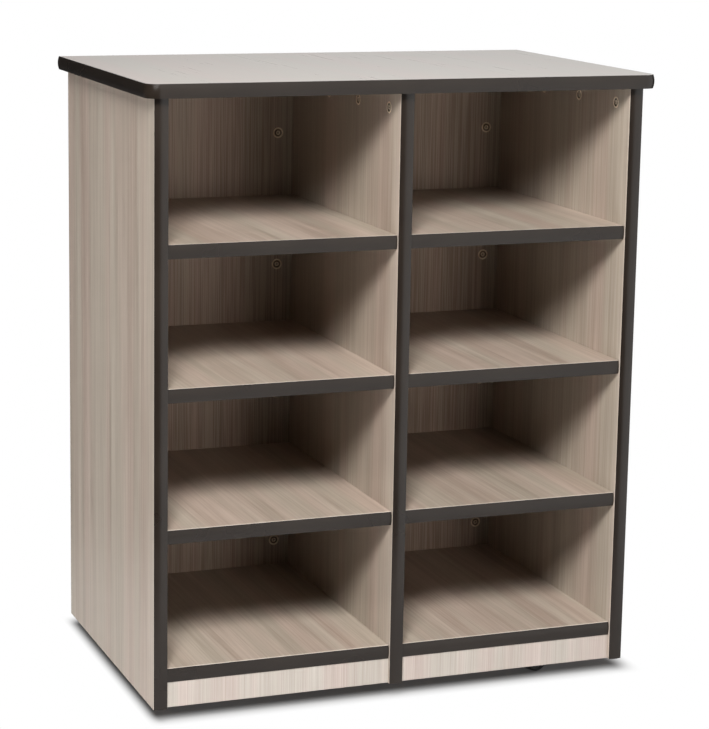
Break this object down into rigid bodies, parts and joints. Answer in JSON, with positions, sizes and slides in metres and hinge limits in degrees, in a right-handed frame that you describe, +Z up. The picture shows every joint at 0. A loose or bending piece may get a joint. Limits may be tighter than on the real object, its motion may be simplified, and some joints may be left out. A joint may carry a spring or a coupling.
{
  "type": "mobile open bay cabinet",
  "caption": "Open laminate storage cabinet with two columns of open bays for trays or bins, dark edge moulding and swivel casters",
  "frame": {"origin": "on the floor, below the middle of the whole cabinet's outline seen from above", "axes": "+X to the right seen from the open front, +Y from the front to the back, +Z up"},
  "size_m": [0.742, 0.4672, 0.8816],
  "materials": {
    "laminate": "satin laminate with fine wood grain",
    "top_laminate": "satin laminate with faint grain",
    "edge_moulding": "satin, fine texture",
    "cam_metal": "dull zinc",
    "zinc_steel": "bright zinc plate",
    "wheel_rubber": "matte"
  },
  "bodies": {
    "cabinet": {"back_cam_locks": "cam_metal", "caster_front_left_kingpin": "zinc_steel", "caster_front_left_plate": "zinc_steel", "caster_front_left_race": "zinc_steel", "caster_front_right_kingpin": "zinc_steel", "caster_front_right_plate": "zinc_steel", "caster_front_right_race": "zinc_steel", "caster_rear_left_kingpin": "zinc_steel", "caster_rear_left_plate": "zinc_steel", "caster_rear_left_race": "zinc_steel", "caster_rear_right_kingpin": "zinc_steel", "caster_rear_right_plate": "zinc_steel", "caster_rear_right_race": "zinc_steel", "divider": "laminate", "divider_moulding": "edge_moulding", "left_back": "laminate", "left_bottom": "laminate", "left_bottom_moulding": "edge_moulding", "left_shelf_lower": "laminate", "left_shelf_lower_moulding": "edge_moulding", "left_shelf_middle": "laminate", "left_shelf_middle_moulding": "edge_moulding", "left_shelf_upper": "laminate", "left_shelf_upper_moulding": "edge_moulding", "left_side": "laminate", "left_side_moulding": "edge_moulding", "left_toe_kick": "laminate", "right_back": "laminate", "right_bottom": "laminate", "right_bottom_moulding": "edge_moulding", "right_shelf_lower": "laminate", "right_shelf_lower_moulding": "edge_moulding", "right_shelf_middle": "laminate", "right_shelf_middle_moulding": "edge_moulding", "right_shelf_upper": "laminate", "right_shelf_upper_moulding": "edge_moulding", "right_side": "laminate", "right_side_moulding": "edge_moulding", "right_toe_kick": "laminate", "top_cam_locks": "cam_metal", "top_moulding": "edge_moulding", "top_panel": "top_laminate"},
    "swivel_front_left": {"caster_front_left_axle": "zinc_steel", "caster_front_left_fork": "zinc_steel"},
    "wheel_front_left": {"caster_front_left_wheel": "wheel_rubber"},
    "swivel_front_right": {"caster_front_right_axle": "zinc_steel", "caster_front_right_fork": "zinc_steel"},
    "wheel_front_right": {"caster_front_right_wheel": "wheel_rubber"},
    "swivel_rear_left": {"caster_rear_left_axle": "zinc_steel", "caster_rear_left_fork": "zinc_steel"},
    "wheel_rear_left": {"caster_rear_left_wheel": "wheel_rubber"},
    "swivel_rear_right": {"caster_rear_right_axle": "zinc_steel", "caster_rear_right_fork": "zinc_steel"},
    "wheel_rear_right": {"caster_rear_right_wheel": "wheel_rubber"}
  },
  "joints": [
    {"name": "front_left_swivel", "type": "hinge", "parent": "cabinet", "child": "swivel_front_left", "pos_m": [-0.26405, -0.1423, 0.05755], "axis": [0, 0, 1], "continuous": true},
    {"name": "front_left_roll", "type": "hinge", "parent": "swivel_front_left", "child": "wheel_front_left", "pos_m": [-0.27055, -0.12445, 0.0254], "axis": [-0.9397, -0.342, 0], "continuous": true},
    {"name": "front_right_swivel", "type": "hinge", "parent": "cabinet", "child": "swivel_front_right", "pos_m": [0.26405, -0.1423, 0.05755], "axis": [0, 0, 1], "continuous": true},
    {"name": "front_right_roll", "type": "hinge", "parent": "swivel_front_right", "child": "wheel_front_right", "pos_m": [0.24683, -0.15033, 0.0254], "axis": [0.4226, -0.9063, 0], "continuous": true},
    {"name": "rear_left_swivel", "type": "hinge", "parent": "cabinet", "child": "swivel_rear_left", "pos_m": [-0.26405, 0.1661, 0.05755], "axis": [0, 0, 1], "continuous": true},
    {"name": "rear_left_roll", "type": "hinge", "parent": "swivel_rear_left", "child": "wheel_rear_left", "pos_m": [-0.2819, 0.1726, 0.0254], "axis": [-0.342, -0.9397, 0], "continuous": true},
    {"name": "rear_right_swivel", "type": "hinge", "parent": "cabinet", "child": "swivel_rear_right", "pos_m": [0.26405, 0.1661, 0.05755], "axis": [0, 0, 1], "continuous": true},
    {"name": "rear_right_roll", "type": "hinge", "parent": "swivel_rear_right", "child": "wheel_rear_right", "pos_m": [0.2462, 0.1596, 0.0254], "axis": [0.342, -0.9397, 0], "continuous": true}
  ]
}
